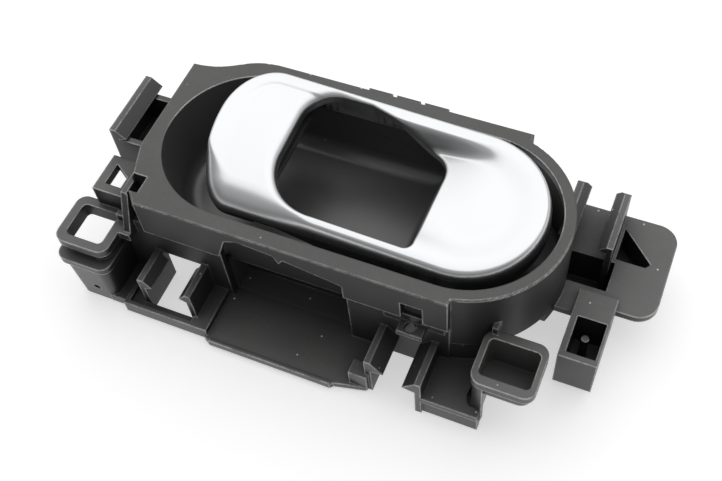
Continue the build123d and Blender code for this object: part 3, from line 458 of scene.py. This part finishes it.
# Pivot pin and return spring: drawn steel, the pin ground bright and the spring wire left with the
# dark oily skin of its drawing.
pin_dark, pin_bright = (0.42, 0.42, 0.43, 1), (0.60, 0.60, 0.61, 1)
pin_steel, tree, shader = new_material("pin_steel")
turned = add_node(tree, "ShaderNodeMapping", {}, piece_place(tree), Scale=(1.0, 14.0, 1.0))
scratch = noise(turned, 420.0, 4.0, 0.7)
bump = add_node(tree, "ShaderNodeBump", {}, Strength=0.1, Distance=0.00003, Height=scratch)
feed(
    tree,
    shader,
    Base_Color=mix_colour(tree, scratch, pin_dark, pin_bright),
    Metallic=1.0,
    Roughness=0.24 + 0.2 * scratch,
    Normal=bump,
)
paint("pivot_pin", pin_steel)

wire_dark, wire_bright = (0.16, 0.155, 0.15, 1), (0.38, 0.37, 0.36, 1)
spring_steel, tree, shader = new_material("spring_steel")
oil = noise(piece_place(tree), 340.0, 4.0, 0.65)
feed(
    tree,
    shader,
    Base_Color=mix_colour(tree, oil, wire_dark, wire_bright),
    Metallic=1.0,
    Roughness=0.28 + 0.25 * oil,
)
paint("return_spring", spring_steel)


# Rest buffer: a small mushroom of black rubber pressed into its bracket; the lever's arm comes to
# rest on its head.
rubber_dark, rubber_bloom = (0.014, 0.014, 0.014, 1), (0.045, 0.044, 0.042, 1)
buffer_rubber, tree, shader = new_material("buffer_rubber")
place = piece_place(tree)
bloom = noise(place, 260.0, 5.0, 0.6)
pores = noise(place, 2400.0, 2.0, 0.5)
bump = add_node(tree, "ShaderNodeBump", {}, Strength=0.25, Distance=0.0001, Height=pores)
feed(
    tree,
    shader,
    Base_Color=mix_colour(tree, bloom, rubber_dark, rubber_bloom),
    Roughness=0.72 + 0.2 * bloom,
    Normal=bump,
)
paint("rest_buffer", buffer_rubber)


# Table: a large smooth white sheet under the part. It shows white to the camera and to the chrome,
# and keeps the part's soft shadow.
table_white, table_seen = (0.80, 0.80, 0.80, 1), (0.62, 0.62, 0.62, 1)
table_half, table_glow = 3.0, 0.53
table_sheet, tree, shader = new_material("table_sheet")
feed(tree, shader, Base_Color=table_white, Roughness=0.7, Specular_IOR_Level=0.1)
camera_ray, mirror_ray, through_ray = (
    add_node(tree, "ShaderNodeLightPath", {}, output=ray)
    for ray in ("Is Camera Ray", "Is Glossy Ray", "Is Transmission Ray")
)
seen = (camera_ray + mirror_ray + through_ray).math("MINIMUM", 1.0)
glow = add_node(tree, "ShaderNodeEmission", {}, Color=(1, 1, 1, 1), Strength=table_glow)
soft = add_node(tree, "ShaderNodeBsdfDiffuse", {}, Color=table_seen)
lit = add_node(tree, "ShaderNodeAddShader", {}, glow, soft)
sheet = add_node(tree, "ShaderNodeMixShader", {}, seen, Value(tree, shader.outputs[0]), lit)
plug(tree, tree.nodes["Material Output"].inputs["Surface"], sheet)
corners = np.array([[-1, -1, 0], [1, -1, 0], [1, 1, 0], [-1, 1, 0]]) * table_half
table = add_piece("table", corners, [(0, 1, 2, 3)], table_sheet)


# Light and camera: an even white room, brighter to the back and above, one broad soft box overhead
# to the left and back, and the camera at the photograph's angle.
room_low, room_above, room_behind = 0.29, 0.17, 0.54
world = bpy.data.worlds.new("room")
bpy.context.scene.world = world
world.use_nodes = True
tree = world.node_tree
room = tree.nodes["Background"]
way = add_node(tree, "ShaderNodeTexCoord", {}, output="Generated")
depth = add_node(tree, "ShaderNodeSeparateXYZ", {}, way, output=1)
height = add_node(tree, "ShaderNodeSeparateXYZ", {}, way, output=2)
walls = room_low + room_above * height.between(0.25, 0.75) + room_behind * depth.between(-0.5, 0.45)
level = walls * (0.72 + 0.28 * height.between(0.0, 0.7))
feed(tree, room, Color=(1, 1, 1, 1), Strength=level)

box = bpy.data.lights.new("soft_box", "AREA")
box.shape, box.size, box.size_y, box.energy = "RECTANGLE", 1.6, 1.2, 3.6
soft_box = bpy.data.objects.new("soft_box", box)
box_place, box_tilt = (-0.10, 0.35, 0.95), np.radians(-20)
soft_box.matrix_world = Matrix.Translation(box_place) @ Matrix.Rotation(box_tilt, 4, "X")
bpy.context.scene.collection.objects.link(soft_box)

lens = bpy.data.cameras.new("camera")
lens.sensor_width, lens.lens = 36.0, 50.594
lens.clip_start = 0.01
camera = bpy.data.objects.new("camera", lens)
right = np.array([0.91962776, 0.38671817, -0.06880296])
down = np.array([0.28945744, -0.7856254, -0.54681543])
ahead = np.array([-0.26551681, 0.48295112, -0.83442138])
pose = np.eye(4)
pose[:3, 0], pose[:3, 1], pose[:3, 2] = right, -down, -ahead
pose[:3, 3] = (0.083398, -0.153291, 0.286698)
camera.matrix_world = Matrix(pose.tolist())
bpy.context.scene.collection.objects.link(camera)
bpy.context.scene.camera = camera

bpy.context.scene.view_settings.view_transform = "Standard"
